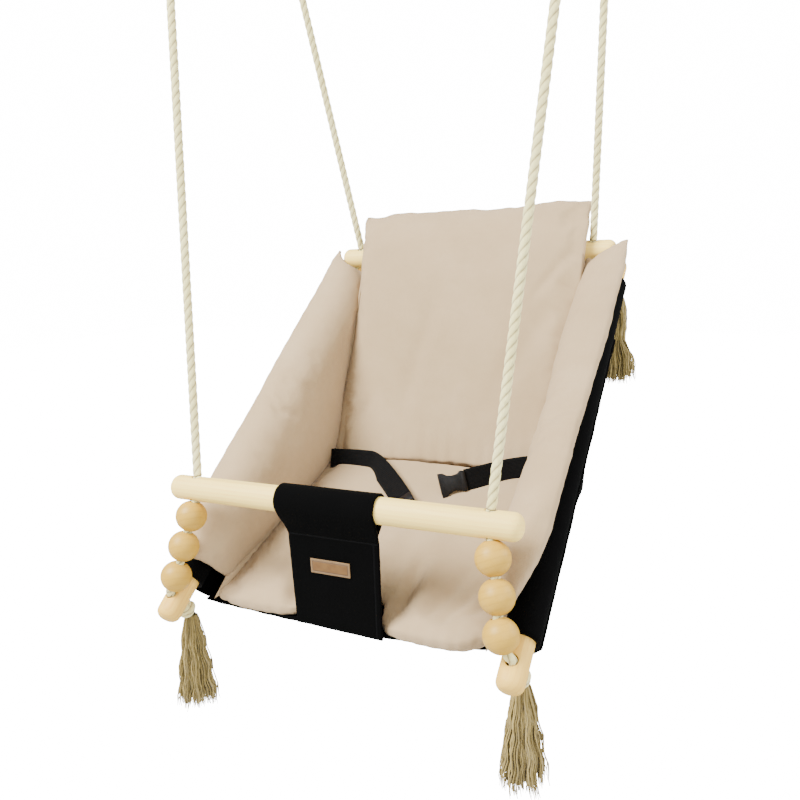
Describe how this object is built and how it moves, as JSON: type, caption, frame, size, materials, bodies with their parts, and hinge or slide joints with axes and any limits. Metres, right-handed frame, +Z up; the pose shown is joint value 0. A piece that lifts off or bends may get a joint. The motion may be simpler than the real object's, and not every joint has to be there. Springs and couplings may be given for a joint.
{
  "type": "baby rocker",
  "caption": "Hanging baby seat with four twisted cotton ropes, pine bars, wooden beads, a black canvas sling, a beige padded insert and a waist strap.",
  "frame": {"origin": "Midway between the four ceiling plates, on their top faces.", "axes": "+Z up, +Y from the front bar towards the backrest, +X across the seat to the child's left-hand side as seen from behind."},
  "size_m": [0.558, 0.4949, 1.0218],
  "materials": {
    "pine": "sanded, unvarnished",
    "bead_wood": "smooth, clear-oiled",
    "rope": "three-strand twisted cotton",
    "zinc_steel": "zinc plated",
    "black_canvas": "matt woven",
    "beige_cotton": "fine woven, padded",
    "leather": "vegetable tanned",
    "black_webbing": "flat woven tape",
    "black_plastic": "moulded, fine texture"
  },
  "bodies": {
    "ceiling": {"ceiling_hook_front_left": "zinc_steel", "ceiling_hook_front_right": "zinc_steel", "ceiling_hook_rear_left": "zinc_steel", "ceiling_hook_rear_right": "zinc_steel"},
    "front_ropes": {"loop_front_left": "rope", "rope_front_left": "rope", "loop_front_right": "rope", "rope_front_right": "rope"},
    "rear_ropes": {"loop_rear_left": "rope", "rope_rear_left": "rope", "loop_rear_right": "rope", "rope_rear_right": "rope"},
    "seat": {"front_bar": "pine", "back_bar": "pine", "side_bar_left": "pine", "side_bar_right": "pine", "front_rope_tail_left": "rope", "knot_front_left": "rope", "front_rope_tail_right": "rope", "knot_front_right": "rope", "rear_rope_tail_left": "rope", "knot_rear_left": "rope", "rear_rope_tail_right": "rope", "knot_rear_right": "rope", "sling_canvas": "black_canvas", "back_sleeve": "black_canvas", "sleeve_left": "black_canvas", "sleeve_right": "black_canvas", "wing_canvas_left": "black_canvas", "wing_canvas_right": "black_canvas", "crotch_panel": "black_canvas", "seat_pad": "beige_cotton", "back_pad": "beige_cotton", "wing_pad_left": "beige_cotton", "wing_pad_right": "beige_cotton", "leather_tag": "leather"},
    "bead_left_1_body": {"bead_left_1": "bead_wood"},
    "bead_left_2_body": {"bead_left_2": "bead_wood"},
    "bead_left_3_body": {"bead_left_3": "bead_wood"},
    "bead_right_1_body": {"bead_right_1": "bead_wood"},
    "bead_right_2_body": {"bead_right_2": "bead_wood"},
    "bead_right_3_body": {"bead_right_3": "bead_wood"},
    "tassel_front_left_body": {"tassel_front_left": "rope"},
    "tassel_front_right_body": {"tassel_front_right": "rope"},
    "tassel_rear_left_body": {"tassel_rear_left": "rope"},
    "tassel_rear_right_body": {"tassel_rear_right": "rope"},
    "strap_left": {"waist_strap_left": "black_webbing", "buckle_plug": "black_plastic"},
    "strap_right": {"waist_strap_right": "black_webbing", "buckle_socket": "black_plastic"}
  },
  "joints": [
    {"name": "front_rope_swing", "type": "hinge", "parent": "ceiling", "child": "front_ropes", "pos_m": [0, -0.096, -0.042], "axis": [1, 0, 0], "range_deg": [-8, 8]},
    {"name": "seat_pitch", "type": "hinge", "parent": "front_ropes", "child": "seat", "pos_m": [0, -0.19991, -0.73116], "axis": [1, 0, 0], "range_deg": [-5, 5]},
    {"name": "rear_rope_swing", "type": "hinge", "parent": "seat", "child": "rear_ropes", "pos_m": [0, 0.19299, -0.48771], "axis": [1, 0, 0], "range_deg": [-7, 7]},
    {"name": "bead_left_1_spin", "type": "hinge", "parent": "seat", "child": "bead_left_1_body", "pos_m": [-0.18056, -0.21024, -0.77511], "axis": [-0.1904, -0.2592, -0.9469], "continuous": true},
    {"name": "bead_left_2_spin", "type": "hinge", "parent": "seat", "child": "bead_left_2_body", "pos_m": [-0.18728, -0.21939, -0.80853], "axis": [-0.1904, -0.2592, -0.9469], "continuous": true},
    {"name": "bead_left_3_spin", "type": "hinge", "parent": "seat", "child": "bead_left_3_body", "pos_m": [-0.194, -0.22855, -0.84196], "axis": [-0.3219, -0.1672, -0.9319], "continuous": true},
    {"name": "bead_right_1_spin", "type": "hinge", "parent": "seat", "child": "bead_right_1_body", "pos_m": [0.18056, -0.21024, -0.77511], "axis": [0.1904, -0.2592, -0.9469], "continuous": true},
    {"name": "bead_right_2_spin", "type": "hinge", "parent": "seat", "child": "bead_right_2_body", "pos_m": [0.18728, -0.21939, -0.80853], "axis": [0.1904, -0.2592, -0.9469], "continuous": true},
    {"name": "bead_right_3_spin", "type": "hinge", "parent": "seat", "child": "bead_right_3_body", "pos_m": [0.194, -0.22855, -0.84196], "axis": [0.3219, -0.1672, -0.9319], "continuous": true},
    {"name": "tassel_front_left_sway", "type": "hinge", "parent": "seat", "child": "tassel_front_left_body", "pos_m": [-0.204, -0.19975, -0.90178], "axis": [1, 0, 0], "range_deg": [-15, 15]},
    {"name": "tassel_front_right_sway", "type": "hinge", "parent": "seat", "child": "tassel_front_right_body", "pos_m": [0.204, -0.19975, -0.90178], "axis": [1, 0, 0], "range_deg": [-15, 15]},
    {"name": "tassel_rear_left_sway", "type": "hinge", "parent": "seat", "child": "tassel_rear_left_body", "pos_m": [-0.196, 0.22618, -0.56177], "axis": [1, 0, 0], "range_deg": [-15, 15]},
    {"name": "tassel_rear_right_sway", "type": "hinge", "parent": "seat", "child": "tassel_rear_right_body", "pos_m": [0.196, 0.22618, -0.56177], "axis": [1, 0, 0], "range_deg": [-15, 15]},
    {"name": "strap_left_lift", "type": "hinge", "parent": "seat", "child": "strap_left", "pos_m": [-0.153, 0.05122, -0.77049], "axis": [0, 0.284, 0.9588], "range_deg": [-30, 0]},
    {"name": "strap_right_lift", "type": "hinge", "parent": "seat", "child": "strap_right", "pos_m": [0.154, 0.06592, -0.75684], "axis": [0, 0.284, 0.9588], "range_deg": [0, 30]}
  ],
  "couplings": [
    {"joint": "seat_pitch", "follows": "front_rope_swing", "ratio": -0.4306},
    {"joint": "rear_rope_swing", "follows": "front_rope_swing", "ratio": 0.6658}
  ]
}
